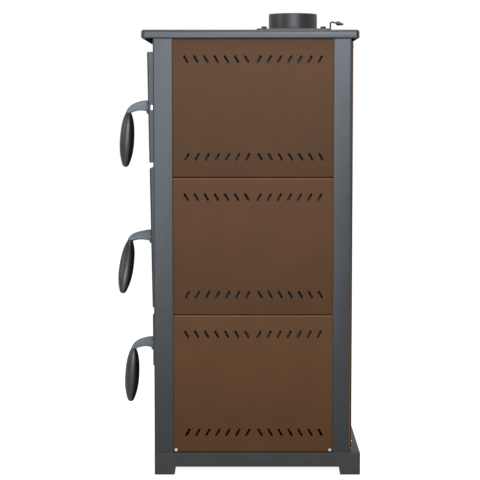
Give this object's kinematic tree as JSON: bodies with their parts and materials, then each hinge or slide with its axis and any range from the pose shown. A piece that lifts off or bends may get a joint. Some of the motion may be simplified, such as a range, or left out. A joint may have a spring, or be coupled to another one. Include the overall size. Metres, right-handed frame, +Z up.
{
  "type": "wood cookstove",
  "caption": "Tall narrow wood cookstove: oven over fire chamber over ash space, hinged doors with drop-shaped latch handles, slotted side panels, flue spigot on top.",
  "frame": {"origin": "on the floor, in the middle between the two sides and in the middle between the foremost handle and the plinth's rear edge", "axes": "+Z up; -Y out of the doors, towards the cook; +X to the cook's right, the side the door handles are on"},
  "size_m": [0.43, 0.5752, 1.095],
  "materials": {
    "grey_enamel": "satin blue-grey stove enamel",
    "brown_enamel": "satin brown stove enamel",
    "dark_plinth": "satin dark grey stove enamel",
    "black_cast_iron": "matt black heat paint on cast iron",
    "black_grip": "semi-gloss black heat-resistant grip",
    "dark_steel": "matt black heat paint on steel",
    "bright_steel": "plain steel, lightly brushed",
    "zinc_sheet": "plain sheet steel",
    "firebrick": "matt fired clay brick",
    "rope_seal": "woven glass-fibre rope",
    "clear_glass": "clear heat-proof glass"
  },
  "bodies": {
    "body": {"ash_pan": "zinc_sheet", "baffle_plate": "dark_steel", "body_shell": "dark_steel", "flange_bolts": "bright_steel", "flue_collar": "black_cast_iron", "front_frame": "grey_enamel", "front_left_post": "grey_enamel", "front_right_post": "grey_enamel", "grate": "black_cast_iron", "grate_bed": "dark_steel", "hinge_brackets": "dark_steel", "hinge_pins": "bright_steel", "latch_keepers": "dark_steel", "left_firebricks": "firebrick", "left_lower_panel": "brown_enamel", "left_middle_panel": "brown_enamel", "left_upper_panel": "brown_enamel", "lower_front_panel": "brown_enamel", "oven_box": "zinc_sheet", "oven_rack": "bright_steel", "panel_screws": "bright_steel", "plinth_base": "dark_plinth", "rear_cover": "brown_enamel", "rear_firebricks": "firebrick", "rear_left_post": "grey_enamel", "rear_right_post": "grey_enamel", "right_firebricks": "firebrick", "right_lower_panel": "brown_enamel", "right_middle_panel": "brown_enamel", "right_upper_panel": "brown_enamel", "top_plate": "grey_enamel"},
    "damper": {"damper_rod": "dark_steel", "damper_knob": "black_grip", "damper_plate": "black_cast_iron"},
    "oven_door": {"oven_latch_plug": "bright_steel", "oven_door_panel": "grey_enamel", "oven_door_liner": "zinc_sheet", "oven_door_seal": "rope_seal", "oven_door_knuckles": "dark_steel"},
    "oven_handle": {"oven_handle_arm": "black_cast_iron", "oven_handle_grip": "black_grip", "oven_spindle": "bright_steel", "oven_tongue": "black_cast_iron"},
    "fire_door": {"fire_door_panel": "grey_enamel", "fire_door_glass": "clear_glass", "glass_clips": "dark_steel", "fire_door_seal": "rope_seal", "fire_door_knuckles": "dark_steel"},
    "fire_handle": {"fire_handle_arm": "black_cast_iron", "fire_handle_grip": "black_grip", "fire_spindle": "bright_steel", "fire_tongue": "black_cast_iron"},
    "ash_door": {"ash_door_panel": "grey_enamel", "ash_door_seal": "rope_seal", "ash_door_knuckles": "dark_steel"},
    "air_slide": {"air_slide": "dark_steel"},
    "ash_handle": {"ash_handle_arm": "black_cast_iron", "ash_handle_grip": "black_grip", "ash_spindle": "bright_steel", "ash_tongue": "black_cast_iron"}
  },
  "joints": [
    {"name": "oven_door_swing", "type": "hinge", "parent": "body", "child": "oven_door", "pos_m": [-0.166, -0.21019, 0.86805], "axis": [0, 0, -1], "range_deg": [0, 115]},
    {"name": "fire_door_swing", "type": "hinge", "parent": "body", "child": "fire_door", "pos_m": [-0.166, -0.21019, 0.559], "axis": [0, 0, -1], "range_deg": [0, 115]},
    {"name": "ash_door_swing", "type": "hinge", "parent": "body", "child": "ash_door", "pos_m": [-0.166, -0.21019, 0.31485], "axis": [0, 0, -1], "range_deg": [0, 115]},
    {"name": "oven_handle_turn", "type": "hinge", "parent": "oven_door", "child": "oven_handle", "pos_m": [0.118, -0.21574, 0.86805], "axis": [0, -1, 0], "range_deg": [-25, 65]},
    {"name": "fire_handle_turn", "type": "hinge", "parent": "fire_door", "child": "fire_handle", "pos_m": [0.118, -0.21029, 0.559], "axis": [0, -1, 0], "range_deg": [-43, 47]},
    {"name": "ash_handle_turn", "type": "hinge", "parent": "ash_door", "child": "ash_handle", "pos_m": [0.118, -0.20696, 0.30105], "axis": [0, -1, 0], "range_deg": [-25, 65]},
    {"name": "air_slide_travel", "type": "slide", "parent": "ash_door", "child": "air_slide", "axis": [1, 0, 0], "range_m": [0, 0.014]},
    {"name": "damper_turn", "type": "hinge", "parent": "body", "child": "damper", "pos_m": [-0.038, 0.22381, 1.048], "axis": [0, 0, 1], "range_deg": [0, 65]}
  ]
}
